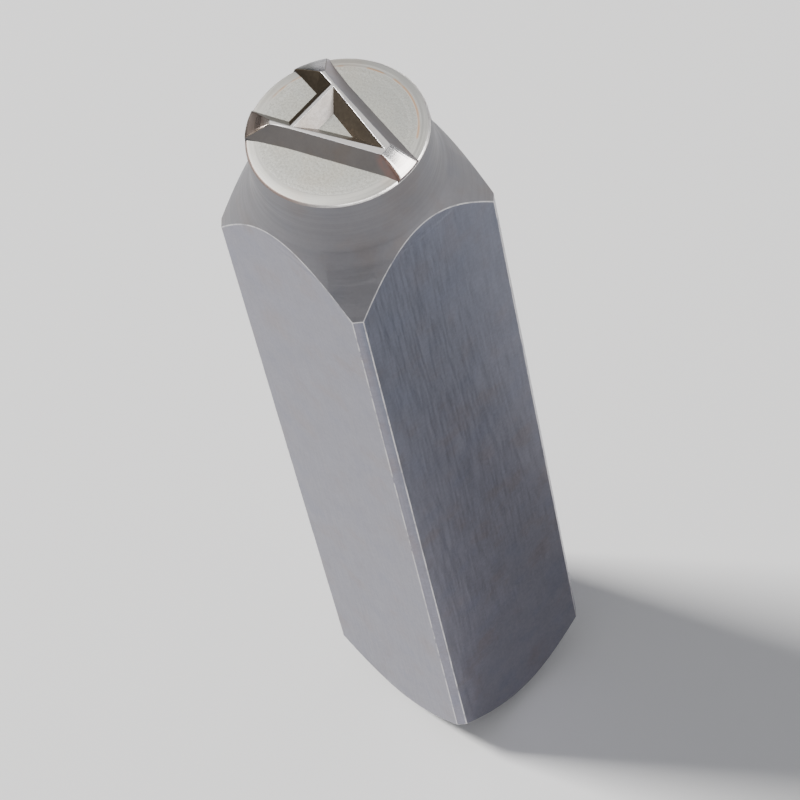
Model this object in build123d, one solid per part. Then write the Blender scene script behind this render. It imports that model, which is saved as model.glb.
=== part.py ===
from build123d import *
import os
from math import atan, degrees, radians, tan

# Steel letter punch, one forged and turned piece of tool steel.
# A square shank stands on its flat struck face. Its other end is turned to a
# short neck that flares back to the square in a cone, and its end disc carries
# one raised capital A, the die that is driven into the work.
# Millimetres, +Z up, origin at the centre of the struck face.

# Shank
SHANK_WIDTH = 14.0          # across the flats
OVERALL_LENGTH = 70.0       # struck face to printing face
CORNER_CHAMFER = 0.55       # leg of the narrow flat along each long corner

# Struck end
STRUCK_FACE_DIAMETER = 11.6
STRUCK_BEVEL_ANGLE = 45.0   # degrees between the bevel and the axis

# Turned letter end
END_DISC_DIAMETER = 12.6
NECK_LENGTH = 3.9           # end disc to where neck and cone would meet
NECK_TAPER = 2.2            # degrees from the axis
CONE_ANGLE = 31.0           # degrees from the axis
NECK_BLEND_RADIUS = 4.0
FIELD_DIAMETER = 10.8       # flat middle of the end disc
RIM_DROP = 0.06             # fall from the flat middle to the rim
RIM_BREAK = 0.12            # broken edge of the rim

# Letter: printing face
LETTER_HEIGHT = 8.0         # apex to the middle of the feet
LETTER_RELIEF = 1.0         # printing face above the end disc
LETTER_CIRCLE = 8.9         # diameter that the printing face is turned to
LETTER_RIM_HEIGHT = 0.05    # left of the letter where its turned ends meet the rim
LETTER_TURN = 4.0           # degrees that the letter sits off the flats
LETTER_SHIFT = 0.14         # middle of the letter beside the middle of the disc
APEX_WIDTH = 0.95           # outer width of the letter at its apex
BAR_WIDTH = 4.65            # outer width of the letter at its crossbar
FEET_WIDTH = 5.6            # outer width of the letter across its feet
BAR_ABOVE_FEET = 1.36       # feet to the middle of the crossbar
STROKE = 0.2                # printing width of crossbar and stems beside it
FOOT_STROKE = 0.3           # printing width of a stem at its foot
APEX_WEB = 0.15             # printing width between apex and counter

# Letter: flanks
FLANK_RUN = 0.95            # along the end disc, over the full relief

# Shared positions, worked out from the values above
DISC_LEVEL = OVERALL_LENGTH - LETTER_RELIEF
APEX_Y = LETTER_CIRCLE / 2
FEET_Y = APEX_Y - LETTER_HEIGHT
BAR_Y = FEET_Y + BAR_ABOVE_FEET
CUTTER_REACH = SHANK_WIDTH  # takes every tool shape clear of the steel


def square_bar():
    """Square bar with its four long corners taken off."""
    section = Rectangle(SHANK_WIDTH, SHANK_WIDTH)
    section = chamfer(section.vertices(), CORNER_CHAMFER)
    return extrude(section, OVERALL_LENGTH)


def turned_envelope():
    """Everything inside the lathe's cuts: struck bevel, cone, neck and the slope around the letter."""
    struck_radius = STRUCK_FACE_DIAMETER / 2
    bevel_height = (CUTTER_REACH - struck_radius) / tan(radians(STRUCK_BEVEL_ANGLE))
    disc_radius = END_DISC_DIAMETER / 2
    neck_radius = disc_radius + NECK_LENGTH * tan(radians(NECK_TAPER))
    rim_radius = disc_radius - LETTER_RIM_HEIGHT * tan(radians(NECK_TAPER))
    neck_level = DISC_LEVEL - NECK_LENGTH
    cone_level = neck_level - (CUTTER_REACH - neck_radius) / tan(radians(CONE_ANGLE))
    neck_corner = (neck_radius, neck_level)
    outline = Polyline(
        (0, 0),
        (struck_radius, 0),
        (CUTTER_REACH, bevel_height),
        (CUTTER_REACH, cone_level),
        neck_corner,
        (rim_radius, DISC_LEVEL + LETTER_RIM_HEIGHT),
        (LETTER_CIRCLE / 2, OVERALL_LENGTH),
        (0, OVERALL_LENGTH),
        close=True,
    )
    section = make_face(outline)
    blended = section.vertices().sort_by_distance(neck_corner)[0]
    section = fillet(blended, NECK_BLEND_RADIUS)
    return revolve(Plane.XZ * section, Axis.Z)


def end_disc_cut():
    """Steel that is faced off around the letter, down to the end disc and its broken rim."""
    disc_radius = END_DISC_DIAMETER / 2
    field_radius = FIELD_DIAMETER / 2
    rim_level = DISC_LEVEL - RIM_DROP
    outline = Polyline(
        (0, DISC_LEVEL),
        (field_radius, DISC_LEVEL),
        (disc_radius - RIM_BREAK, rim_level),
        (disc_radius, rim_level - RIM_BREAK),
        (CUTTER_REACH, rim_level - RIM_BREAK - (CUTTER_REACH - disc_radius)),
        (CUTTER_REACH, OVERALL_LENGTH),
        (0, OVERALL_LENGTH),
        close=True,
    )
    return revolve(Plane.XZ * make_face(outline), Axis.Z)


def half_width(y):
    """Outer half-width of the letter at height y, along the stem that y lies on."""
    apex, bar, feet = APEX_WIDTH / 2, BAR_WIDTH / 2, FEET_WIDTH / 2
    if y >= BAR_Y:
        return apex + (bar - apex) * (APEX_Y - y) / (APEX_Y - BAR_Y)
    return bar + (feet - bar) * (BAR_Y - y) / (BAR_Y - FEET_Y)


def printing_outline():
    """Letter as it prints, its stems run on at both ends for the turned slope to cut."""
    past_feet = FEET_Y - CUTTER_REACH
    bar_top, bar_foot = BAR_Y + STROKE / 2, BAR_Y - STROKE / 2
    outer_slope = (BAR_WIDTH - APEX_WIDTH) / 2 / (APEX_Y - BAR_Y)
    stems_meet = APEX_Y + APEX_WIDTH / 2 / outer_slope
    stems = make_face(Polyline(
        (0, stems_meet),
        (-half_width(BAR_Y), BAR_Y),
        (-half_width(past_feet), past_feet),
        (half_width(past_feet), past_feet),
        (half_width(BAR_Y), BAR_Y),
        close=True,
    ))
    counter = make_face(Polyline(
        (-half_width(bar_top) + STROKE, bar_top),
        (half_width(bar_top) - STROKE, bar_top),
        (0, APEX_Y - APEX_WEB),
        close=True,
    ))
    gap_at_bar = half_width(bar_foot) - STROKE
    gap_at_feet = half_width(FEET_Y) - FOOT_STROKE
    gap_slope = (gap_at_feet - gap_at_bar) / (bar_foot - FEET_Y)
    gap_past_feet = gap_at_bar + gap_slope * (bar_foot - past_feet)
    between_feet = make_face(Polyline(
        (-gap_past_feet, past_feet),
        (gap_past_feet, past_feet),
        (gap_at_bar, bar_foot),
        (-gap_at_bar, bar_foot),
        close=True,
    ))
    return stems - counter - between_feet


def raised_letter():
    """Letter with drafted flanks, rooted a little below the end disc."""
    root = RIM_DROP + RIM_BREAK
    draft = degrees(atan(FLANK_RUN / LETTER_RELIEF))
    face = Pos(0, 0, LETTER_RELIEF) * printing_outline()
    letter = extrude(face, -(LETTER_RELIEF + root), taper=-draft)
    turned_to_reader = Rot(0, 0, 180 + LETTER_TURN)
    return Pos(LETTER_SHIFT, 0, DISC_LEVEL) * turned_to_reader * letter


def letter_punch():
    """Square bar turned at both ends, its end disc faced down around the letter."""
    envelope = turned_envelope()
    blank = square_bar() & envelope
    return (blank - end_disc_cut()) + (raised_letter() & envelope)


os.makedirs("parts", exist_ok=True)
export_step(letter_punch(), "parts/letter_punch.step")
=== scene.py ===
"""Steel letter punch: the finished look of one hand stamp, built as a Blender add-on and run as a script.

Everything is in metres, +Z up, with the origin at the centre of the struck face that the punch stands on.
The shank's flats face +X, -X, +Y and -Y, and the letter's apex points towards -Y.
"""

import math

import bmesh
import bpy
from bpy.props import FloatProperty, FloatVectorProperty, IntProperty, PointerProperty
from mathutils import Matrix, Vector


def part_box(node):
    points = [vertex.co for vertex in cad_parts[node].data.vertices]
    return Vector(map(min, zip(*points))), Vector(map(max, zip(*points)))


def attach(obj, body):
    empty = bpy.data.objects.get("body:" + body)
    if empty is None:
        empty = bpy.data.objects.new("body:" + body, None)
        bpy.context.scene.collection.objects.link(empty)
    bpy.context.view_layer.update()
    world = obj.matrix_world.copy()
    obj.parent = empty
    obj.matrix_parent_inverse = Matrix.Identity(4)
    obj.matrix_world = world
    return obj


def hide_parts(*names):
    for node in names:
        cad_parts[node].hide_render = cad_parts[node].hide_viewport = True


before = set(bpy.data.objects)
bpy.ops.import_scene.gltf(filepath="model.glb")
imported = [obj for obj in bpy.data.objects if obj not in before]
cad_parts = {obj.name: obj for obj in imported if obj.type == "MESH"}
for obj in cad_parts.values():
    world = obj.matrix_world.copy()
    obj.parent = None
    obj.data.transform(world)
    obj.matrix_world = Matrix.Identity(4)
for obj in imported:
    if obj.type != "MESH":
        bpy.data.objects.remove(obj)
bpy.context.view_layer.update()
CAD_NODE = "letter_punch"
LOWEST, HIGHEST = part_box(CAD_NODE)

bl_info = {
    "name": "Steel letter punch",
    "version": (1, 0, 0),
    "blender": (4, 5, 0),
    "location": "3D View > Sidebar > Letter punch",
    "description": "Builds a steel letter punch with its finishes and studio",
    "category": "Object",
}


def length(name, description, default):
    """A size in metres that the sidebar shows with its unit."""
    shown = {"min": 0.0, "precision": 5, "unit": "LENGTH", "subtype": "DISTANCE"}
    return FloatProperty(name=name, description=description, default=default, **shown)


def angle(name, description, degrees):
    """An angle given in degrees and kept in radians."""
    shown = {"unit": "ROTATION", "subtype": "ANGLE"}
    return FloatProperty(name=name, description=description, default=math.radians(degrees), **shown)


def tone(name, description, default):
    """A linear colour without alpha."""
    shown = {"size": 3, "min": 0.0, "max": 1.0, "subtype": "COLOR"}
    return FloatVectorProperty(name=name, description=description, default=default, **shown)


class BodySizes(bpy.types.PropertyGroup):
    """Sizes of the shank and of both turned ends."""

    shank_width: length("Shank width", "Across the flats", HIGHEST.x - LOWEST.x)
    overall_length: length("Overall length", "Struck face to printing face", HIGHEST.z)
    corner_chamfer: length("Corner chamfer", "Leg of the narrow flat on each corner", 0.00055)
    struck_face: length("Struck face", "Diameter of the flat face", 0.0116)
    struck_bevel: angle("Struck bevel", "Angle from the axis", 45.0)
    struck_round: length("Struck round", "Width of the struck face's rounded edge", 0.00035)
    disc_diameter: length("End disc", "Diameter at its rim", 0.0126)
    neck_length: length("Neck length", "End disc to where neck and cone would meet", 0.0039)
    neck_taper: angle("Neck taper", "Angle from the axis", 2.2)
    cone_angle: angle("Cone angle", "Angle from the axis", 31.0)
    neck_blend: length("Neck blend", "Radius between neck and cone", 0.004)
    field_diameter: length("Field", "Diameter of the disc's flat middle", 0.0108)
    rim_drop: length("Rim drop", "Fall from the field to the rim", 0.00006)
    rim_break: length("Rim break", "Broken edge of the rim", 0.00012)
    edge_round: length("Edge round", "Width of the rounded edges", 0.00005)
    steps: IntProperty(name="Steps", description="Divisions round the axis", default=256, min=32, max=512)


class LetterSizes(bpy.types.PropertyGroup):
    """Sizes of the raised letter."""

    height: length("Height", "Apex to the middle of the feet", 0.008)
    relief: length("Relief", "Printing face above the end disc", 0.001)
    circle: length("Letter circle", "Diameter of the turned printing face", 0.0089)
    rim_height: length("Rim height", "Letter's height where its ends meet the rim", 0.00005)
    turn: angle("Turn", "How far the letter sits off the flats", 4.0)
    shift: length("Shift", "Letter's middle beside the disc's", 0.00014)
    apex_width: length("Apex width", "Outer width at the apex", 0.00095)
    bar_width: length("Bar width", "Outer width at the crossbar", 0.00465)
    feet_width: length("Feet width", "Outer width across the feet", 0.0056)
    bar_above_feet: length("Bar above feet", "Feet to the middle of the crossbar", 0.00136)
    stroke: length("Stroke", "Printing width of crossbar and stems", 0.0002)
    foot_stroke: length("Foot stroke", "Printing width of a stem at its foot", 0.0003)
    apex_web: length("Apex web", "Printing width between apex and counter", 0.00015)
    flank_run: length("Flank run", "Spread of a flank over the full relief", 0.00095)
    edge_round: length("Edge round", "Width of the worn edges", 0.000025)
    end_round: length("End round", "Width of the rounded apex edges", 0.00012)


class SteelFinishes(bpy.types.PropertyGroup):
    """Colours of the steel in its different finishes."""

    disc: tone("End disc", "Matt steel of the end disc", (0.63, 0.63, 0.575))
    rim: tone("Rim ring", "Turned ring round the field", (0.60, 0.59, 0.55))
    turned: tone("Turned steel", "Neck, cone and struck bevel", (0.21, 0.207, 0.22))
    # Steel's own grey with a slight blue cast, which is a painted reflection of blue surroundings
    ground: tone("Ground flats", "Flats and corner chamfers of the shank", (0.205, 0.202, 0.243))
    # Painted shade and blue reflection on the top of the front flat
    painted_front_shade: tone("Painted front shade", "Top of the flat in front of the apex", (0.105, 0.125, 0.17))
    flank: tone("Letter flanks", "Milled flanks of the letter", (0.175, 0.16, 0.148))
    # Paler copy of the milled flanks for the right stem's outer flank: a painted reflection
    pale_flank: tone("Pale flank", "Outer flank of the right stem", (0.29, 0.272, 0.295))
    oxide: tone("Oxide", "Brown oxide inside the counter", (0.082, 0.067, 0.051))
    dark_oxide: tone("Dark oxide", "Darker oxide between the feet", (0.043, 0.035, 0.026))
    slope: tone("Turned slope", "Turned ends of the letter", (0.72, 0.70, 0.69))
    foot: tone("Right foot", "Dull turned end of the right stem", (0.32, 0.315, 0.335))
    # Left foot's brown: partly stain, partly a painted reflection
    brown_foot: tone("Left foot", "Stained turned end of the left stem", (0.42, 0.37, 0.33))
    printing: tone("Printing face", "Bright face that prints", (0.93, 0.90, 0.87))
    # Bare worn steel on the edges, bright enough to be a painted highlight too
    worn_and_glint: tone("Worn edges and glints", "Bare bright steel on the edges", (0.56, 0.55, 0.56))
    rust: tone("Rust", "Brown beside the apex", (0.235, 0.158, 0.138))
    # Brown of the rim's edge, with painted shade on the side away from the light
    rim_brown_and_shade: tone("Rim brown and shade", "Dull side of the rim's edge", (0.235, 0.185, 0.165))
    struck: tone("Struck face", "Flat end that takes the hammer", (0.36, 0.355, 0.36))


class StudioSettings(bpy.types.PropertyGroup):
    """Floor, lights and camera."""

    floor: tone("Floor", "Pale floor", (0.88, 0.88, 0.88))
    floor_size: length("Floor size", "Width of the floor", 4.0)
    lens: FloatProperty(name="Lens", description="Focal length of the camera in millimetres", default=171.0)
    lean: angle("Lean", "Turn of the camera about its line of sight", 14.07)


def punch_settings():
    """Property groups of the current scene, by the names that register() gave them."""
    scene = bpy.context.scene
    return scene.punch_body, scene.punch_letter, scene.punch_steel, scene.punch_studio


# Node helpers


def opaque(colour):
    """Linear colour with full alpha."""
    return (*colour, 1.0)


def add_node(tree, kind, inputs=None, **settings):
    """New node of a kind with settings, and with values or links for its inputs."""
    made = tree.nodes.new(kind)
    for name, value in settings.items():
        setattr(made, name, value)
    for name, value in (inputs or {}).items():
        if isinstance(value, bpy.types.NodeSocket):
            tree.links.new(value, made.inputs[name])
        else:
            made.inputs[name].default_value = value
    return made


def math_node(tree, operation, first, second=0.0):
    """Output of a Math node on one or two values or sockets."""
    return add_node(tree, "ShaderNodeMath", {0: first, 1: second}, operation=operation).outputs[0]


def plus(tree, first, second):
    """Sum of two values or sockets."""
    return math_node(tree, "ADD", first, second)


def minus(tree, first, second):
    """Difference of two values or sockets."""
    return math_node(tree, "SUBTRACT", first, second)


def times(tree, first, second):
    """Product of two values or sockets."""
    return math_node(tree, "MULTIPLY", first, second)


def vector_node(tree, operation, first, second):
    """Vector Math node on two vectors or sockets."""
    return add_node(tree, "ShaderNodeVectorMath", {0: first, 1: second}, operation=operation)


def scaled(tree, vector, factor):
    """Vector or colour times a value."""
    made = add_node(tree, "ShaderNodeVectorMath", {0: vector, "Scale": factor}, operation="SCALE")
    return made.outputs[0]


def coordinates(tree, place):
    """Coordinates of a place."""
    return add_node(tree, "ShaderNodeSeparateXYZ", {0: place}).outputs


def mix_colour(tree, factor, first, second, blend="MIX"):
    """Colour output of a Mix node."""
    inputs = {0: factor, 6: first, 7: second}
    return add_node(tree, "ShaderNodeMix", inputs, data_type="RGBA", blend_type=blend).outputs[2]


def map_range(tree, value, low, high, to_low=0.0, to_high=1.0, form="SMOOTHSTEP"):
    """Value moved from one range to another and held inside it."""
    limits = {"Value": value, "From Min": low, "From Max": high, "To Min": to_low, "To Max": to_high}
    return add_node(tree, "ShaderNodeMapRange", limits, clamp=True, interpolation_type=form).outputs[0]


def noise(tree, vector, per_mm, detail=2.0, roughness=0.5):
    """Factor of a Noise texture at a scale per millimetre."""
    values = {"Vector": vector, "Scale": per_mm, "Detail": detail, "Roughness": roughness}
    return add_node(tree, "ShaderNodeTexNoise", values).outputs["Fac"]


def millimetres(tree):
    """Object coordinates in millimetres."""
    place = add_node(tree, "ShaderNodeTexCoord").outputs["Object"]
    return add_node(tree, "ShaderNodeMapping", {"Vector": place, "Scale": (1000.0,) * 3}).outputs["Vector"]


def reach_across(tree, place, direction, start, full):
    """From 0 to 1 along a direction, between two distances from the origin."""
    distance = vector_node(tree, "DOT_PRODUCT", place, direction).outputs["Value"]
    return map_range(tree, distance, start, full)


def new_socket(tree, label, in_out):
    """Socket of a node group: a colour if it is named so, and else a value."""
    kind = "NodeSocketColor" if label == "Colour" else "NodeSocketFloat"
    return tree.interface.new_socket(label, in_out=in_out, socket_type=kind)


def new_group(name, inputs, outputs):
    """Empty shader node group with its sockets, and its input and output nodes."""
    tree = bpy.data.node_groups.new(name, "ShaderNodeTree")
    for label, default in inputs.items():
        new_socket(tree, label, "INPUT").default_value = default
    for label in outputs:
        new_socket(tree, label, "OUTPUT")
    return tree, tree.nodes.new("NodeGroupInput"), tree.nodes.new("NodeGroupOutput")


def place_group(tree, group, values):
    """Outputs of a group node with its own values."""
    return add_node(tree, "ShaderNodeGroup", values, node_tree=group).outputs


# Effects that several finishes share

# The stains multiply the steel's colour, and their pattern is moved aside from that of the clouds
WARM_STAIN = (1.0, 0.87, 0.76)
COOL_STAIN = (0.88, 0.92, 1.0)
STAINS_ASIDE = (31.0, 17.0, 5.0)

# How much a tool mark changes along its own length, round the axis and along the shank
ROUND_DRIFT, LENGTH_DRIFT = 0.012, 0.04

# Half the width of the step between worn and whole
WEAR_FADE = 0.12


def build_steel_tint():
    """Colour of the steel with slow cloudy changes of tone, a warm stain and a cool one."""
    inputs = {"Colour": (0.5, 0.5, 0.5, 1.0), "Mottle": 0.1, "Stain": 0.2}
    tree, start, end = new_group("steel_tint", inputs, ["Colour"])
    place = millimetres(tree)
    cloud = noise(tree, place, per_mm=0.55, detail=4.0, roughness=0.6)
    speckle = noise(tree, place, per_mm=4.5, detail=3.0, roughness=0.65)
    clouds = plus(tree, times(tree, cloud, 0.6), times(tree, speckle, 0.4))
    spread = times(tree, minus(tree, clouds, 0.5), start.outputs["Mottle"])
    gain = plus(tree, 1.0, times(tree, spread, 4.0))
    toned = scaled(tree, start.outputs["Colour"], gain)
    aside = vector_node(tree, "ADD", place, STAINS_ASIDE).outputs[0]
    patches = noise(tree, aside, per_mm=0.32, detail=3.0, roughness=0.55)
    warm_share = times(tree, map_range(tree, patches, 0.52, 0.70), start.outputs["Stain"])
    cool_share = times(tree, map_range(tree, patches, 0.48, 0.32), start.outputs["Stain"])
    warm = mix_colour(tree, warm_share, toned, opaque(WARM_STAIN), "MULTIPLY")
    cool = mix_colour(tree, cool_share, warm, opaque(COOL_STAIN), "MULTIPLY")
    tree.links.new(cool, end.inputs["Colour"])
    return tree


def build_blasted_grain():
    """Fine even grain without direction."""
    tree, start, end = new_group("blasted_grain", {"Grains per mm": 7.0}, ["Height", "Mask"])
    place = millimetres(tree)
    per_mm = start.outputs["Grains per mm"]
    fine = noise(tree, place, per_mm, detail=4.0, roughness=0.7)
    pits = add_node(tree, "ShaderNodeTexVoronoi", {"Vector": place, "Scale": per_mm})
    pit_depth = map_range(tree, pits.outputs["Distance"], 0.0, 0.6)
    height = plus(tree, times(tree, fine, 0.7), times(tree, pit_depth, 0.3))
    tree.links.new(height, end.inputs["Height"])
    tree.links.new(map_range(tree, fine, 0.35, 0.65), end.inputs["Mask"])
    return tree


def build_tool_marks():
    """Fine lines left by a tool, either round the axis or along the shank."""
    inputs = {"Lines per mm": 8.0, "Wander": 0.3, "Along": 0.0}
    tree, start, end = new_group("tool_marks", inputs, ["Height", "Mask", "Radius"])
    along = start.outputs["Along"]
    place = millimetres(tree)
    x, y, z = coordinates(tree, place)
    from_axis = vector_node(tree, "MULTIPLY", place, (1.0, 1.0, 0.0)).outputs[0]
    radius = add_node(tree, "ShaderNodeVectorMath", {0: from_axis}, operation="LENGTH").outputs["Value"]
    sway = minus(tree, noise(tree, place, per_mm=0.8), 0.5)
    wander = times(tree, sway, start.outputs["Wander"])
    level = plus(tree, plus(tree, z, radius), wander)
    drift_x, drift_y = times(tree, x, ROUND_DRIFT), times(tree, y, ROUND_DRIFT)
    round_axis = add_node(tree, "ShaderNodeCombineXYZ", {"X": level, "Y": drift_x, "Z": drift_y}).outputs[0]
    side = plus(tree, minus(tree, x, y), wander)
    drift_z = times(tree, z, LENGTH_DRIFT)
    lengthways = add_node(tree, "ShaderNodeCombineXYZ", {"X": side, "Y": drift_z, "Z": 0.0}).outputs[0]
    turned = scaled(tree, round_axis, minus(tree, 1.0, along))
    drawn = scaled(tree, lengthways, along)
    both = vector_node(tree, "ADD", turned, drawn).outputs[0]
    lines = noise(tree, both, start.outputs["Lines per mm"], detail=3.0, roughness=0.65)
    tree.links.new(lines, end.inputs["Height"])
    tree.links.new(map_range(tree, lines, 0.35, 0.65), end.inputs["Mask"])
    tree.links.new(radius, end.inputs["Radius"])
    return tree


def build_wear():
    """Patches where bare bright steel shows, broken up along an edge."""
    tree, start, end = new_group("bright_wear", {"Amount": 0.6, "Patches per mm": 1.6}, ["Mask"])
    patches = noise(tree, millimetres(tree), start.outputs["Patches per mm"], detail=4.0, roughness=0.65)
    edge = minus(tree, 1.0, start.outputs["Amount"])
    low, high = minus(tree, edge, WEAR_FADE), plus(tree, edge, WEAR_FADE)
    tree.links.new(map_range(tree, patches, low, high, form="LINEAR"), end.inputs["Mask"])
    return tree


# Finishes, with their places and distances in millimetres

# Radii between which the turned arcs of the matt disc grow, and the colours of arcs and flecks
ARC_RADII = (4.3, 5.4)
ARC_COLOUR = (1.0, 0.99, 0.96)
FLECK_COLOUR = (0.24, 0.23, 0.21)

# Warm line inside the rim's ring: its radius, how far beside that it ends and is full, and its colour
WARM_LINE_RADIUS = 5.52
WARM_LINE_FADE = (0.11, 0.03)
WARM_LINE_COLOUR = (0.62, 0.42, 0.28)

# Painted shade and blue reflection on the flats: towards the front one, up the shank, and how strong it gets
FRONT_SHADE_Y = (-6.6, -6.95)
FRONT_SHADE_HEIGHT = (15.0, 62.0)
FRONT_SHADE_SHARE = 0.55

# A stretch has a direction, and the distances where something starts to grow and where it is full.
# Brown band on the flank beside the apex: its stretch across the edge, and its y towards the apex
RUST_ACROSS = ((-0.97, 0.24, 0.0), -0.40, -0.80)
RUST_Y = (-3.9, -4.6)

# Stretch of the rim's edge from its dark side, brown under painted shade, to its lit side, a painted
# highlight on worn steel
RIM_LIT_STRETCH = ((0.9, -0.3, 0.0), -5.3, -2.6)

# Darker parts of turned faces: the stretch, their share at its end, and their colour. On the neck it is
# painted shade under the disc's rim.
NECK_PAINTED_SHADE = (((0.0, 0.0, 1.0), 63.5, 66.0), 0.30, (0.10, 0.10, 0.11))
RIGHT_FOOT_SHADE = (((0.82, -0.57, 0.0), -0.20, -0.95), 0.88, (0.075, 0.075, 0.068))
# On the left foot this dark brown is partly stain and partly a painted reflection
LEFT_FOOT_SHADE = (((0.82, -0.57, 0.0), -4.35, -4.80), 0.82, (0.17, 0.13, 0.11))

# Depth of the fine relief, in metres: blasted, turned or ground, and milled
BLASTED_DEPTH = 0.00003
TURNED_DEPTH = 0.00002
MILLED_DEPTH = 0.000008

# Plain values of the shader. Oxide hides the metal and reflects less.
BARE_STEEL = {"Metallic": 1.0}
OXIDE = {"Metallic": 0.55, "Specular Tint": (0.30, 0.27, 0.24, 1.0), "Specular IOR Level": 0.02}
DARK_OXIDE = {"Metallic": 0.55, "Specular Tint": (0.12, 0.10, 0.08, 1.0), "Specular IOR Level": 0.0}

# Turned finishes: slot and colour, material, roughness, lines per mm, their wander, mottle, stain, and shade
LATHE_FINISHES = (
    ("turned", "turned_steel", 0.48, 6.0, 0.03, 0.08, 0.35, NECK_PAINTED_SHADE),
    ("foot", "turned_right_foot", 0.30, 7.0, 0.05, 0.12, 0.3, RIGHT_FOOT_SHADE),
    ("brown_foot", "turned_left_foot", 0.30, 7.0, 0.05, 0.2, 0.4, LEFT_FOOT_SHADE),
    ("slope", "turned_slope", 0.24, 8.0, 0.05, 0.06, 0.4, None),
    ("struck", "struck_face", 0.42, 5.0, 0.1, 0.12, 0.4, None),
)

# Milled finishes: slot and colour, material, and plain values
FLANK_FINISHES = (
    ("pale_flank", "pale_milled_flank", BARE_STEEL),
    ("oxide", "oxidised_flanks", OXIDE),
    ("dark_oxide", "dark_oxidised_flanks", DARK_OXIDE),
    ("rust", "rusty_edge", BARE_STEEL),
)

# Worn finishes: slot, colour, colour under it, material, bare share, roughness, patches per mm,
# painted-light stretch
BRIGHT_FINISHES = (
    ("printing", "printing", "slope", "printing_face", 0.62, 0.42, 1.8, None),
    # Edges: worn steel that also serves as a painted highlight
    ("worn_and_glint", "worn_and_glint", "ground", "worn_glint_edges", 0.58, 0.36, 0.7, None),
    ("rim", "printing", "rim_brown_and_shade", "rim_edge", 0.58, 0.34, 1.8, RIM_LIT_STRETCH),
)


def new_material(name, settings):
    """Material with its tree, and with plain values on its Principled shader."""
    material = bpy.data.materials.new(name)
    material.use_nodes = True
    shader = material.node_tree.nodes["Principled BSDF"]
    for label, value in settings.items():
        shader.inputs[label].default_value = value
    return material, material.node_tree


def surface(material, colour, mask, rough, height=None, strength=0.0, depth=0.0):
    """Material with its colour, a roughness that follows a mask between two values, and fine relief."""
    tree = material.node_tree
    shader = tree.nodes["Principled BSDF"]
    tree.links.new(colour, shader.inputs["Base Color"])
    tree.links.new(map_range(tree, mask, 0.0, 1.0, *rough), shader.inputs["Roughness"])
    if height is not None:
        bump = add_node(tree, "ShaderNodeBump", {"Strength": strength, "Distance": depth, "Height": height})
        tree.links.new(bump.outputs["Normal"], shader.inputs["Normal"])
    return material


def tinted(tree, groups, colour, mottle, stain):
    """Colour of the steel with its clouds and stains."""
    values = {"Colour": opaque(colour), "Mottle": mottle, "Stain": stain}
    return place_group(tree, groups["tint"], values)["Colour"]


def matt_disc(steel, groups):
    """Pale matt field of the end disc, with faint turned arcs near its rim."""
    material, tree = new_material("matt_end_disc", BARE_STEEL)
    tint = tinted(tree, groups, steel.disc, mottle=0.05, stain=0.25)
    grain = place_group(tree, groups["grain"], {"Grains per mm": 5.0})
    marks = place_group(tree, groups["marks"], {"Lines per mm": 3.2, "Wander": 0.05})
    near_rim = map_range(tree, marks["Radius"], *ARC_RADII)
    arcs = times(tree, times(tree, near_rim, marks["Mask"]), 0.35)
    lined = mix_colour(tree, arcs, tint, opaque(ARC_COLOUR))
    flecked = mix_colour(tree, times(tree, grain["Mask"], 0.55), lined, opaque(FLECK_COLOUR))
    return surface(material, flecked, grain["Mask"], (0.50, 0.60), grain["Height"], 0.35, BLASTED_DEPTH)


def rim_ring(steel, groups):
    """Turned ring round the field, with a broken warm line at its inner edge."""
    material, tree = new_material("turned_rim_ring", BARE_STEEL)
    tint = tinted(tree, groups, steel.rim, mottle=0.05, stain=0.3)
    marks = place_group(tree, groups["marks"], {"Lines per mm": 7.0, "Wander": 0.04})
    place = millimetres(tree)
    from_line = math_node(tree, "ABSOLUTE", minus(tree, marks["Radius"], WARM_LINE_RADIUS))
    line = map_range(tree, from_line, *WARM_LINE_FADE)
    more_right = times(tree, coordinates(tree, place)["X"], 0.03)
    broken = map_range(tree, plus(tree, noise(tree, place, per_mm=0.5), more_right), 0.50, 0.66)
    warm_line = times(tree, times(tree, line, broken), 0.95)
    coloured = mix_colour(tree, warm_line, tint, opaque(WARM_LINE_COLOUR))
    return surface(material, coloured, marks["Mask"], (0.48, 0.58), marks["Height"], 0.25, TURNED_DEPTH)


def shaded(tree, base, shade):
    """Base colour that darkens over part of a face."""
    stretch, share, dark = shade
    reached = reach_across(tree, millimetres(tree), *stretch)
    return mix_colour(tree, times(tree, reached, share), base, opaque(dark))


def lathe_finish(colour, groups, name, rough, lines, wander, mottle, stain, shade):
    """Satin steel with fine lines round the axis."""
    material, tree = new_material(name, BARE_STEEL)
    tint = tinted(tree, groups, colour, mottle, stain)
    marks = place_group(tree, groups["marks"], {"Lines per mm": lines, "Wander": wander})
    grain = place_group(tree, groups["grain"], {"Grains per mm": 9.0})
    base = shaded(tree, tint, shade) if shade else tint
    relief = plus(tree, marks["Height"], times(tree, grain["Height"], 0.5))
    return surface(material, base, marks["Mask"], (rough - 0.04, rough + 0.05), relief, 0.25, TURNED_DEPTH)


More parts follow.
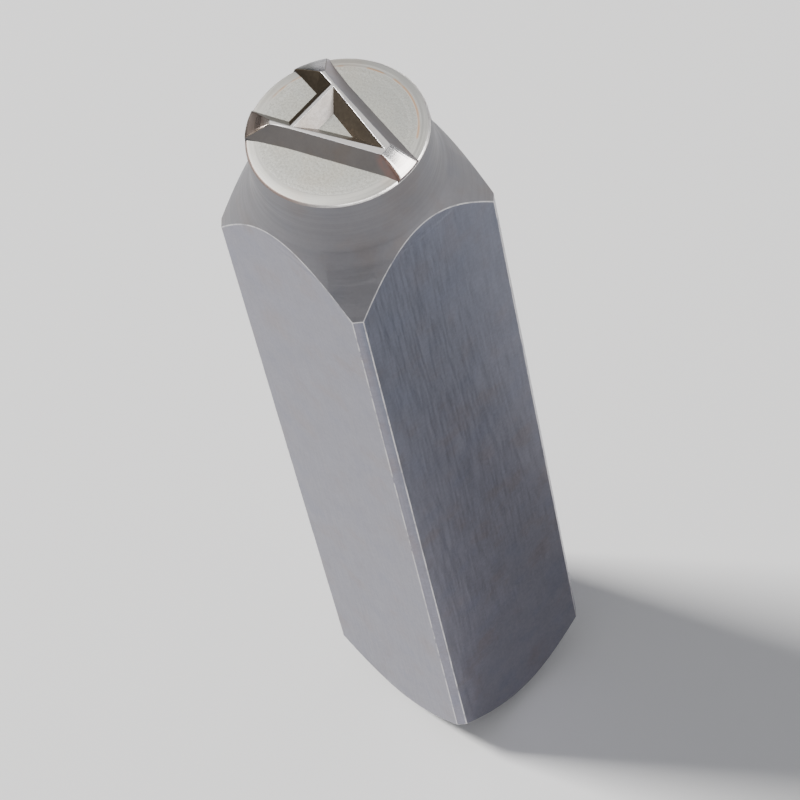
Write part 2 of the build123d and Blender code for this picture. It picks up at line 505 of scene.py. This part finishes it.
def ground_finish(steel, groups):
    """Ground flats with faint lines along the shank, and painted shade with a blue cast high on the front
    flat.
    """
    material, tree = new_material("ground_flats", BARE_STEEL)
    tint = tinted(tree, groups, steel.ground, mottle=0.11, stain=0.5)
    marks = place_group(tree, groups["marks"], {"Lines per mm": 5.5, "Wander": 0.06, "Along": 1.0})
    grain = place_group(tree, groups["grain"], {"Grains per mm": 3.0})
    place = coordinates(tree, millimetres(tree))
    # Painted shade: the top of the front flat is made darker and bluer
    front = map_range(tree, place["Y"], *FRONT_SHADE_Y)
    painted_front_shade = times(tree, front, map_range(tree, place["Z"], *FRONT_SHADE_HEIGHT, to_high=FRONT_SHADE_SHARE))
    colour = mix_colour(tree, painted_front_shade, tint, opaque(steel.painted_front_shade))
    lines = times(tree, marks["Mask"], 0.11)
    light = plus(tree, lines, times(tree, grain["Mask"], 0.10))
    lined = scaled(tree, colour, plus(tree, 0.925, light))
    return surface(material, lined, marks["Mask"], (0.28, 0.36), marks["Height"], 0.08, TURNED_DEPTH)


def apex_rust(tree, base, rust):
    """Base colour with a patchy brown band along the left edge of the apex."""
    place = millimetres(tree)
    near_edge = reach_across(tree, place, *RUST_ACROSS)
    near_apex = map_range(tree, coordinates(tree, place)["Y"], *RUST_Y)
    patches = map_range(tree, noise(tree, place, per_mm=3.0, detail=3.0), 0.30, 0.55, to_low=0.45)
    amount = times(tree, times(tree, near_edge, near_apex), patches)
    return mix_colour(tree, amount, base, opaque(rust))


def flank_finish(colour, groups, name, settings, rust=None):
    """Milled flanks of the letter, glossier than the disc."""
    material, tree = new_material(name, settings)
    tint = tinted(tree, groups, colour, mottle=0.12, stain=0.45)
    grain = place_group(tree, groups["grain"], {"Grains per mm": 4.5})
    base = apex_rust(tree, tint, rust) if rust else tint
    return surface(material, base, grain["Mask"], (0.28, 0.36), grain["Height"], 0.10, MILLED_DEPTH)


def bright_finish(bright, under, groups, name, amount, rough, patches, lit_side):
    """Bare bright steel broken up by patches of the finish under it. A lit stretch paints highlight on one
    side and shade on the other.
    """
    material, tree = new_material(name, BARE_STEEL)
    wear = place_group(tree, groups["wear"], {"Amount": amount, "Patches per mm": patches})
    bare_and_lit = wear["Mask"]
    # Painted light: bare steel on the lit side, the colour under it as painted shade on the other
    if lit_side:
        bare_and_lit = plus(tree, times(tree, bare_and_lit, 0.4), 0.6)
        bare_and_lit = times(tree, bare_and_lit, reach_across(tree, millimetres(tree), *lit_side))
    tint = tinted(tree, groups, under, mottle=0.05, stain=0.3)
    colour = mix_colour(tree, bare_and_lit, tint, opaque(bright))
    return surface(material, colour, bare_and_lit, (rough + 0.12, rough))


def steel_materials(steel):
    """Every finish of the punch, by its short name, made once."""
    groups = {
        "tint": build_steel_tint(),
        "grain": build_blasted_grain(),
        "marks": build_tool_marks(),
        "wear": build_wear(),
    }
    made = {
        "disc": matt_disc(steel, groups),
        "ring": rim_ring(steel, groups),
        "ground": ground_finish(steel, groups),
        "flank": flank_finish(steel.flank, groups, "milled_flanks", BARE_STEEL, steel.rust),
    }
    for slot, *rest in LATHE_FINISHES:
        made[slot] = lathe_finish(getattr(steel, slot), groups, *rest)
    for slot, *rest in FLANK_FINISHES:
        made[slot] = flank_finish(getattr(steel, slot), groups, *rest)
    for slot, bright, under, *rest in BRIGHT_FINISHES:
        made[slot] = bright_finish(getattr(steel, bright), getattr(steel, under), groups, *rest)
    return made


_MATERIALS = {}


def finishes(slots):
    """The materials of some slots. All finishes are built on first use."""
    if not _MATERIALS:
        _MATERIALS.update(steel_materials(punch_settings()[2]))
    return [_MATERIALS[slot] for slot in slots]


# Mesh helpers, with distances in metres and angles in degrees

# Points this close are one, in new shapes and in a boolean's result, or lie on the cutting plane
WELD, CUT_WELD, ON_PLANE = 1e-7, 1e-6, 1e-8

# Rings of a spin keep this far from the radius where the flats are cut
CLEAR_BY = 0.00006

# Layer and ranks by which the Weighted Normal modifier picks the faces that lead
LEAD_LAYER = "__mod_weightednormals_faceweight"
LEADS, GIVES_WAY = 16384, -16384

# Turns from which an edge stays crisp: any, one in an inside corner, one between two large faces
HIDDEN_CORNER, INSIDE_CORNER, LARGE_CORNER = 60.0, 12.0, 25.0


def object_from(bm, name, materials):
    """Linked object with a finished bmesh and its materials."""
    mesh = bpy.data.meshes.new(name)
    bm.to_mesh(mesh)
    bm.free()
    for material in materials:
        mesh.materials.append(material)
    made = bpy.data.objects.new(name, mesh)
    bpy.context.scene.collection.objects.link(made)
    return made


def bevel(bm, geom, offset, segments, affect):
    """Rounds corners or edges and hands back the new faces."""
    rounded = bmesh.ops.bevel(
        bm, geom=geom, offset=offset, segments=segments, profile=0.5, affect=affect, material=-1
    )
    return rounded["faces"]


def spin_outline(bm, points, steps, corners=(), clear_radius=None):
    """Closed lathe shape from points of radius and height.

    Each of the corners has an index, an offset and segments, and is rounded first. A point that this leaves
    beside clear_radius is dropped, because the flats are cut there.
    """
    verts = [bm.verts.new((radius, 0.0, height)) for radius, height in points]
    for first, second in zip(verts, verts[1:]):
        bm.edges.new((first, second))
    for index, offset, segments in corners:
        bevel(bm, [verts[index]], offset, segments, "VERTICES")
    if clear_radius is not None:
        beside = [v for v in bm.verts if abs(v.co.x - clear_radius) < CLEAR_BY]
        bmesh.ops.dissolve_verts(bm, verts=beside)
    geom = bm.verts[:] + bm.edges[:]
    axis = (0.0, 0.0, 1.0)
    bmesh.ops.spin(bm, geom=geom, axis=axis, angle=2.0 * math.pi, steps=steps, use_merge=True)
    bmesh.ops.remove_doubles(bm, verts=bm.verts[:], dist=WELD)
    face_outwards(bm)


def face_outwards(bm):
    """Turns every face of a closed body outwards."""
    bmesh.ops.recalc_face_normals(bm, faces=bm.faces[:])
    bm.normal_update()


def cut_flat(bm, point, outward):
    """Plane cut that takes away what lies outside, and closes the body again."""
    geom = bm.verts[:] + bm.edges[:] + bm.faces[:]
    cut = bmesh.ops.bisect_plane(
        bm, geom=geom, dist=ON_PLANE, plane_co=point, plane_no=outward, clear_outer=True
    )
    rim = [e for e in cut["geom_cut"] if isinstance(e, bmesh.types.BMEdge)]
    bmesh.ops.contextual_create(bm, geom=rim)


def sharp_edges(bm, least_turn, wanted):
    """Outer edges that turn by more than an angle and that a test on the edge accepts."""
    least = math.radians(least_turn)
    return [e for e in bm.edges if e.is_convex and e.calc_face_angle(0.0) > least and wanted(e)]


def keep_corners(bm):
    """Keeps inside corners, hidden ones and those of two large faces crisp."""
    lead = bm.faces.layers.int[LEAD_LAYER]
    for edge in bm.edges:
        turn = math.degrees(edge.calc_face_angle(0.0))
        inside = turn > INSIDE_CORNER and not edge.is_convex
        large = turn > LARGE_CORNER and all(face[lead] == LEADS for face in edge.link_faces)
        if turn > HIDDEN_CORNER or inside or large:
            edge.smooth = False


def steady_copy(bm):
    """The same faces made anew in the order of their places, so that every run goes on alike."""
    by_place = sorted(bm.verts, key=lambda vert: vert.co[:])
    rank = {vert: number for number, vert in enumerate(by_place)}
    rings = []
    for face in bm.faces:
        ring = [rank[vert] for vert in face.verts]
        first = ring.index(min(ring))
        rings.append(ring[first:] + ring[:first])
    ordered = bmesh.new()
    verts = [ordered.verts.new(vert.co) for vert in by_place]
    for ring in sorted(rings):
        ordered.faces.new([verts[number] for number in ring])
    bm.free()
    ordered.normal_update()
    return ordered


def split_large_faces(bm):
    """Triangles in place of the faces with more than four corners."""
    bmesh.ops.triangulate(bm, faces=[f for f in bm.faces if len(f.verts) > 4])


def round_over(bm, edges, width, segments):
    """Rounds some edges. The new faces give way to their neighbours in the shading."""
    lead = bm.faces.layers.int.get(LEAD_LAYER)
    if lead is None:
        lead = bm.faces.layers.int.new(LEAD_LAYER)
        for face in bm.faces:
            face[lead] = LEADS
    rounded = bevel(bm, edges, width, segments, "EDGES")
    for face in rounded:
        face[lead] = GIVES_WAY
    return rounded


def make_piece(bm, name, slots):
    """Finished piece on the CAD body, in place of the CAD node. Its large faces shade flat."""
    piece = object_from(bm, name, finishes(slots))
    if not piece.data.polygons:
        raise RuntimeError(name + " came out empty: check its sizes")
    for face in piece.data.polygons:
        face.use_smooth = True
    normals = piece.modifiers.new("large_faces_lead", "WEIGHTED_NORMAL")
    normals.weight = 90
    normals.keep_sharp = True
    normals.use_face_influence = True
    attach(piece, "root")
    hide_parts(CAD_NODE)


# Slots of both pieces

BODY_SLOTS = ("disc", "ring", "turned", "ground", "worn_and_glint", "struck", "rim")
LETTER_FLANKS = ("flank", "pale_flank", "oxide", "dark_oxide")
LETTER_SLOTS = ("printing", *LETTER_FLANKS, "slope", "foot", "brown_foot", "turned", "worn_and_glint", "rust")

# Heights of the unit normal that tell the faces of the body apart
UPRIGHT, STRUCK, LEVEL, NEARLY_LEVEL, BROKEN_EDGE = 0.002, -0.99, 0.99999, 0.98, 0.2

# The same for the letter, and how far the normal of a flank leans towards its feet or its side
PRINTS, TURNED_END, BELOW_FLANKS = 0.99, 0.8, 0.4
TO_FEET, TO_SIDE = 0.6, 0.4

# Heights of the normals beside an edge that is rounded: at the apex, and anywhere
APEX_EDGE_LOW, APEX_EDGE_HIGH, FACES_DOWN = 0.2, 0.95, -0.1

# Where the feet begin in y and end in x, and where the brown beside the apex ends in x
FEET_FROM_Y, FEET_TO_X, BROWN_TO_X = 0.002, 0.0025, 0.0004


def body_face_finish(face, body, disc_level):
    """Slot of a body face before the edges are rounded."""
    lean, centre = face.normal.z, face.calc_center_median()
    if abs(lean) < UPRIGHT:
        return "ground"
    if lean < STRUCK:
        return "struck"
    if lean > LEVEL:
        return "disc"
    if lean > NEARLY_LEVEL:
        return "ring"
    if centre.z > disc_level - 2 * (body.rim_drop + body.rim_break) and lean > BROKEN_EDGE:
        return "rim"
    return "turned"


def letter_face_finish(face):
    """Slot of a letter face. Oxide is on the flanks towards the feet and inside the right stem."""
    normal, centre = face.normal, face.calc_center_median()
    if normal.z > PRINTS:
        return "printing"
    if normal.z > TURNED_END and centre.y < 0.0:
        return "slope"
    if normal.z > TURNED_END:
        return "foot" if centre.x > 0.0 else "brown_foot"
    if normal.z < BELOW_FLANKS:
        return "turned"
    if normal.y > TO_FEET or (normal.x < -TO_SIDE and centre.x > 0.0):
        return "dark_oxide" if centre.y > FEET_FROM_Y else "oxide"
    # Paler copy for the right stem's outer flank: a painted reflection
    return "pale_flank" if normal.x > TO_SIDE and centre.x > 0.0 else "flank"


def rounded_edge_finish(face, worn_and_glint_from):
    """Slot of a letter's rounded edge: worn with a painted highlight at the top, brown low down by the feet.
    """
    centre = face.calc_center_median()
    if centre.z > worn_and_glint_from:
        return "worn_and_glint"
    return "oxide" if centre.y > FEET_FROM_Y and centre.x < FEET_TO_X else "flank"


# How far out the lathe's cone and bevel run, in shank widths
CLEAR_OF_STEEL = 0.75

# Growth of the neck's radius from the disc down to the foot of the broken edge
NECK_GROWTH = 0.000007

# Rounding of the rim's edge, as a share of the other edges'
RIM_ROUND_SHARE = 0.35

# Places in the body's outline, and segments of its rounded corners
RIM_TOP, RIM_FOOT, NECK_CORNER, STRUCK_CORNER = 2, 3, 4, 7
RIM_SEGMENTS, BLEND_SEGMENTS, STRUCK_SEGMENTS = 2, 10, 4

# Turn from which an edge of the flats is rounded, and segments of rounded edges
FLAT_EDGE_TURN, EDGE_SEGMENTS = 12.0, 2


class LETTERPUNCH_OT_body(bpy.types.Operator):
    """Spin the turned shape, cut the flats and corner chamfers, and round the edges"""

    bl_idname = "letterpunch.build_body"
    bl_label = "Shank and turned ends"

    def execute(self, context):
        body, letter = punch_settings()[:2]
        disc_level = body.overall_length - letter.relief
        disc_radius = body.disc_diameter / 2
        neck_radius = disc_radius + body.neck_length * math.tan(body.neck_taper)
        neck_level = disc_level - body.neck_length
        reach = body.shank_width * CLEAR_OF_STEEL
        rim_level = disc_level - body.rim_drop
        outline = [
            (0.0, disc_level),
            (body.field_diameter / 2, disc_level),
            (disc_radius - body.rim_break, rim_level),
            (disc_radius + NECK_GROWTH, rim_level - body.rim_break),
            (neck_radius, neck_level),
            (reach, neck_level - (reach - neck_radius) / math.tan(body.cone_angle)),
            (reach, (reach - body.struck_face / 2) / math.tan(body.struck_bevel)),
            (body.struck_face / 2, 0.0),
            (0.0, 0.0),
        ]
        blend_length = body.neck_blend * math.tan((body.cone_angle - body.neck_taper) / 2)
        rim_round = body.edge_round * RIM_ROUND_SHARE
        corners = [
            (NECK_CORNER, blend_length, BLEND_SEGMENTS),
            (RIM_FOOT, rim_round, RIM_SEGMENTS),
            (RIM_TOP, rim_round, RIM_SEGMENTS),
            (STRUCK_CORNER, body.struck_round, STRUCK_SEGMENTS),
        ]
        half = body.shank_width / 2
        bm = bmesh.new()
        spin_outline(bm, outline, body.steps, corners, clear_radius=half)
        chamfer_reach = (2 * half - body.corner_chamfer) / math.sqrt(2)
        for quarter in range(4):
            for turn, distance in ((0.0, half), (math.pi / 4, chamfer_reach)):
                outward = Matrix.Rotation(quarter * math.pi / 2 + turn, 3, "Z") @ Vector((1.0, 0.0, 0.0))
                cut_flat(bm, outward * distance, outward)
        face_outwards(bm)
        for face in bm.faces:
            face.material_index = BODY_SLOTS.index(body_face_finish(face, body, disc_level))
        ground = BODY_SLOTS.index("ground")

        def beside_flat(edge):
            return any(face.material_index == ground for face in edge.link_faces)

        edges = sharp_edges(bm, FLAT_EDGE_TURN, beside_flat)
        for face in round_over(bm, edges, body.edge_round, EDGE_SEGMENTS):
            face.material_index = BODY_SLOTS.index("worn_and_glint")
        bmesh.ops.dissolve_degenerate(bm, dist=WELD, edges=bm.edges[:])
        split_large_faces(bm)
        make_piece(bm, "punch_body", BODY_SLOTS)
        return {"FINISHED"}


# How far inside the neck the letter's ends are turned, in metres
INSIDE_NECK = 0.000004

# Turn within which faces of the boolean's result are one, and turns from which edges are rounded
SAME_FACE_TURN = 0.2
APEX_EDGE_TURN, APEX_SEGMENTS = 14.0, 3
LETTER_EDGE_TURN = 26.0


class LETTERPUNCH_OT_letter(bpy.types.Operator):
    """Raise the letter with drafted flanks, and turn its ends down to the rim"""

    bl_idname = "letterpunch.build_letter"
    bl_label = "Raised letter"

    def execute(self, context):
        body, letter = punch_settings()[:2]
        disc_level = body.overall_length - letter.relief
        root = body.rim_drop + body.rim_break
        bm = bmesh.new()
        around = self.printing_plane(bm, letter, body.shank_width)
        depth = letter.relief + root
        spread = letter.flank_run * depth / letter.relief
        bmesh.ops.inset_region(bm, faces=around, thickness=spread, depth=-depth, use_even_offset=True)
        bmesh.ops.delete(bm, geom=[f for f in around if f.is_valid], context="FACES")
        border = [e for e in bm.edges if e.is_boundary]
        bmesh.ops.triangle_fill(bm, edges=border, use_beauty=True)
        face_outwards(bm)
        to_reader = Matrix.Rotation(math.pi + letter.turn, 4, "Z")
        place = Matrix.Translation((letter.shift, 0.0, body.overall_length)) @ to_reader
        bmesh.ops.transform(bm, matrix=place, verts=bm.verts[:])
        block = object_from(bm, "letter_block", [])
        zone = self.turned_zone(body, letter, disc_level, root)
        trimmed = self.keep_common(block, zone)
        self.finish_edges(trimmed, letter)
        make_piece(trimmed, "raised_letter", LETTER_SLOTS)
        return {"FINISHED"}

    @staticmethod
    def printing_plane(bm, letter, reach):
        """Makes the letter's flat faces, apex towards +Y, and returns those of the ground around it."""
        apex_y = letter.circle / 2
        feet_y = apex_y - letter.height
        bar_y = feet_y + letter.bar_above_feet
        apex, bar, feet = letter.apex_width / 2, letter.bar_width / 2, letter.feet_width / 2
        stem_slope = (bar - apex) / (apex_y - bar_y)
        foot_slope = (feet - bar) / (bar_y - feet_y)
        bar_top, bar_foot = bar_y + letter.stroke / 2, bar_y - letter.stroke / 2
        top = apex_y + apex / stem_slope
        past = feet_y - reach
        outer_past = bar + foot_slope * (bar_y - past)
        counter_half = bar - stem_slope * (bar_top - bar_y) - letter.stroke
        gap_at_bar = bar + foot_slope * (bar_y - bar_foot) - letter.stroke
        gap_slope = (feet - letter.foot_stroke - gap_at_bar) / (bar_foot - feet_y)
        gap_past = gap_at_bar + gap_slope * (bar_foot - past)
        far = max(outer_past, top) + reach
        middle = {"top": top, "counter_top": apex_y - letter.apex_web, "far_top": far}
        right = {
            "bar": (bar, bar_y),
            "foot_out": (outer_past, past),
            "foot_in": (gap_past, past),
            "gap": (gap_at_bar, bar_foot),
            "counter": (counter_half, bar_top),
            "corner": (far, far),
            "base": (far, past),
        }
        point = {name: bm.verts.new((0.0, y, 0.0)) for name, y in middle.items()}
        for name, (x, y) in right.items():
            point[name + "_r"] = bm.verts.new((x, y, 0.0))
            point[name + "_l"] = bm.verts.new((-x, y, 0.0))

        def face(*names):
            made = bm.faces.new([point[name] for name in names])
            made.normal_update()
            if made.normal.z < 0:
                made.normal_flip()
            return made

        face("top", "bar_l", "counter_l", "counter_top")
        face("top", "bar_r", "counter_r", "counter_top")
        face("counter_l", "bar_l", "gap_l", "gap_r", "bar_r", "counter_r")
        face("bar_l", "foot_out_l", "foot_in_l", "gap_l")
        face("bar_r", "foot_out_r", "foot_in_r", "gap_r")
        return [
            face("counter_l", "counter_r", "counter_top"),
            face("gap_l", "foot_in_l", "foot_in_r", "gap_r"),
            face("top", "far_top", "corner_l", "base_l", "foot_out_l", "bar_l"),
            face("top", "far_top", "corner_r", "base_r", "foot_out_r", "bar_r"),
        ]

    @staticmethod
    def turned_zone(body, letter, disc_level, root):
        """Solid that the letter's ends are turned to."""
        rim = body.disc_diameter / 2 - letter.rim_height * math.tan(body.neck_taper) - INSIDE_NECK
        outline = [
            (0.0, body.overall_length),
            (letter.circle / 2, body.overall_length),
            (rim, disc_level + letter.rim_height),
            (rim, disc_level - 2 * root),
            (0.0, disc_level - 2 * root),
        ]
        bm = bmesh.new()
        spin_outline(bm, outline, body.steps)
        return object_from(bm, "turned_zone", [])

    @staticmethod
    def keep_common(block, zone):
        """Mesh of what two solids share, the same in every run. Both solids are used up."""
        shared = block.modifiers.new("shared", "BOOLEAN")
        shared.operation = "INTERSECT"
        shared.solver = "EXACT"
        shared.object = zone
        found = block.evaluated_get(bpy.context.evaluated_depsgraph_get())
        bm = bmesh.new()
        bm.from_mesh(found.to_mesh())
        found.to_mesh_clear()
        for used in (block, zone):
            mesh = used.data
            bpy.data.objects.remove(used)
            bpy.data.meshes.remove(mesh)
        bm = steady_copy(bm)
        bmesh.ops.remove_doubles(bm, verts=bm.verts[:], dist=CUT_WELD)
        least = math.radians(SAME_FACE_TURN)
        verts, edges = bm.verts[:], bm.edges[:]
        bmesh.ops.dissolve_limit(bm, angle_limit=least, verts=verts, edges=edges, delimit={"NORMAL"})
        face_outwards(bm)
        return bm

    @staticmethod
    def finish_edges(bm, letter):
        """Names the letter's finishes and rounds its edges, more at the apex's turned end."""
        for face in bm.faces:
            face.material_index = LETTER_SLOTS.index(letter_face_finish(face))
        slope = LETTER_SLOTS.index("slope")

        def at_apex(edge):
            faces = edge.link_faces
            one_slope = sum(face.material_index == slope for face in faces) == 1
            return one_slope and all(APEX_EDGE_LOW < face.normal.z < APEX_EDGE_HIGH for face in faces)

        def in_sight(edge):
            return all(face.normal.z > FACES_DOWN for face in edge.link_faces)

        apex_edges = sharp_edges(bm, APEX_EDGE_TURN, at_apex)
        for face in round_over(bm, apex_edges, letter.end_round, APEX_SEGMENTS):
            brown = face.calc_center_median().x < BROWN_TO_X
            face.material_index = LETTER_SLOTS.index("rust" if brown else "slope")
        bm.normal_update()
        other_edges = sharp_edges(bm, LETTER_EDGE_TURN, in_sight)
        worn_and_glint_from = max(vert.co.z for vert in bm.verts) - 2 * letter.edge_round
        for face in round_over(bm, other_edges, letter.edge_round, EDGE_SEGMENTS):
            face.material_index = LETTER_SLOTS.index(rounded_edge_finish(face, worn_and_glint_from))
        bmesh.ops.dissolve_degenerate(bm, dist=WELD, edges=bm.edges[:])
        keep_corners(bm)
        split_large_faces(bm)


# Studio, in metres and watts

EYE = Vector((-0.0900, -0.1326, 0.2678))
AIM = Vector((0.0001, 0.0007, 0.0355))
SENSOR_MM = 36.0
CLIP = (0.01, 20.0)

# Name, direction from the lit point, distance, size, power, colour, and whether it lights the floor
LIT_POINT = Vector((0.0, 0.0, 0.05))
LIGHTS = (
    ("key", (-0.32, 0.63, 0.71), 2.00, (0.43, 0.43), 72.0, (1.0, 0.985, 0.96), True),
    ("front_card", (0.46, -0.62, 0.63), 0.45, (0.36, 0.26), 2.7, (1.0, 0.99, 0.98), False),
    ("top_card", (-0.35, -0.52, 0.78), 0.50, (0.24, 0.16), 0.5, (1.0, 0.99, 0.96), False),
    ("left_card", (-0.93, 0.20, 0.30), 0.60, (0.30, 0.30), 0.30, (0.93, 0.95, 1.0), False),
)

# The air is paler from the first of these heights to the second, and darker towards the back
AIR_HEIGHTS = (0.15, 0.85)
LOW_AIR = (0.34, 0.345, 0.37)
HIGH_AIR = (0.38, 0.385, 0.40)
BACK_AIR = ((-0.15, 0.95, 0.27), 0.45, 0.95)
BACK_SHARE = 0.7
BACK_COLOUR = (0.07, 0.07, 0.075)

# Floor: its roughness, how many clouds it has per millimetre, and how dark they are
FLOOR_ROUGH, FLOOR_CLOUDS, FLOOR_DARKER = 0.75, 0.01, 0.97


def soft_light(name, towards, distance, size, power, colour, floor_too):
    """Soft rectangular light that faces the punch. Cards leave the floor as it is."""
    data = bpy.data.lights.new(name, "AREA")
    data.shape = "RECTANGLE"
    data.size, data.size_y = size
    data.energy = power
    data.color = colour
    light = bpy.data.objects.new(name, data)
    direction = Vector(towards).normalized()
    light.location = LIT_POINT + direction * distance
    light.rotation_euler = (-direction).to_track_quat("-Z", "Y").to_euler()
    light.visible_diffuse = floor_too
    bpy.context.scene.collection.objects.link(light)


class LETTERPUNCH_OT_studio(bpy.types.Operator):
    """Lay the pale floor and set the soft lights and the camera"""

    bl_idname = "letterpunch.build_studio"
    bl_label = "Studio"

    def execute(self, context):
        studio = punch_settings()[3]
        self.lay_floor(studio)
        self.set_world()
        for light in LIGHTS:
            soft_light(*light)
        self.set_camera(studio)
        return {"FINISHED"}

    @staticmethod
    def lay_floor(studio):
        """Pale floor with faint clouds."""
        bm = bmesh.new()
        bmesh.ops.create_grid(bm, x_segments=1, y_segments=1, size=studio.floor_size / 2)
        material, tree = new_material("pale_floor", {"Roughness": FLOOR_ROUGH})
        cloud = noise(tree, millimetres(tree), FLOOR_CLOUDS)
        darker = opaque([c * FLOOR_DARKER for c in studio.floor])
        colour = mix_colour(tree, cloud, opaque(studio.floor), darker)
        tree.links.new(colour, tree.nodes["Principled BSDF"].inputs["Base Color"])
        floor = object_from(bm, "floor", [material])

    @staticmethod
    def set_world():
        """Air that the steel mirrors."""
        world = bpy.data.worlds.new("studio_air")
        bpy.context.scene.world = world
        world.use_nodes = True
        tree = world.node_tree
        up = add_node(tree, "ShaderNodeTexCoord").outputs["Generated"]
        ramp = map_range(tree, coordinates(tree, up)["Z"], *AIR_HEIGHTS)
        sky = mix_colour(tree, ramp, opaque(LOW_AIR), opaque(HIGH_AIR))
        back = times(tree, reach_across(tree, up, *BACK_AIR), BACK_SHARE)
        air = mix_colour(tree, back, sky, opaque(BACK_COLOUR))
        tree.links.new(air, tree.nodes["Background"].inputs["Color"])

    @staticmethod
    def set_camera(studio):
        """Camera at the photograph's viewing angle, leaning a little about its line of sight."""
        data = bpy.data.cameras.new("photo_camera")
        data.lens = studio.lens
        data.sensor_width = SENSOR_MM
        data.clip_start, data.clip_end = CLIP
        camera = bpy.data.objects.new("photo_camera", data)
        sight = (AIM - EYE).normalized()
        level = sight.to_track_quat("-Z", "Y").to_matrix()
        lean = Matrix.Rotation(studio.lean, 3, sight)
        camera.matrix_world = Matrix.Translation(EYE) @ (lean @ level).to_4x4()
        bpy.context.scene.collection.objects.link(camera)
        bpy.context.scene.camera = camera


class LETTERPUNCH_PT_sidebar(bpy.types.Panel):
    """Sizes, finishes and steps of the punch"""

    bl_label = "Letter punch"
    bl_space_type = "VIEW_3D"
    bl_region_type = "UI"
    bl_category = "Letter punch"

    def draw(self, context):
        layout = self.layout
        for title, settings, operator in zip(
            ("Body", "Letter", "Steel", "Studio"),
            punch_settings(),
            (LETTERPUNCH_OT_body, LETTERPUNCH_OT_letter, None, LETTERPUNCH_OT_studio),
        ):
            box = layout.box()
            box.label(text=title)
            for name in settings.__annotations__:
                box.prop(settings, name)
            if operator:
                box.operator(operator.bl_idname)


GROUPS = {
    "punch_body": BodySizes,
    "punch_letter": LetterSizes,
    "punch_steel": SteelFinishes,
    "punch_studio": StudioSettings,
}
PARTS = (LETTERPUNCH_OT_body, LETTERPUNCH_OT_letter, LETTERPUNCH_OT_studio, LETTERPUNCH_PT_sidebar)


def register():
    """Adds the settings, the operators and the panel."""
    for name, group in GROUPS.items():
        bpy.utils.register_class(group)
        setattr(bpy.types.Scene, name, PointerProperty(type=group))
    for part in PARTS:
        bpy.utils.register_class(part)


def unregister():
    """Takes away what register() added."""
    for part in reversed(PARTS):
        bpy.utils.unregister_class(part)
    for name, group in reversed(GROUPS.items()):
        delattr(bpy.types.Scene, name)
        bpy.utils.unregister_class(group)


def main():
    """Builds the studio and the punch."""
    register()
    bpy.ops.letterpunch.build_studio()
    bpy.ops.letterpunch.build_body()
    bpy.ops.letterpunch.build_letter()


if __name__ == "__main__":
    main()
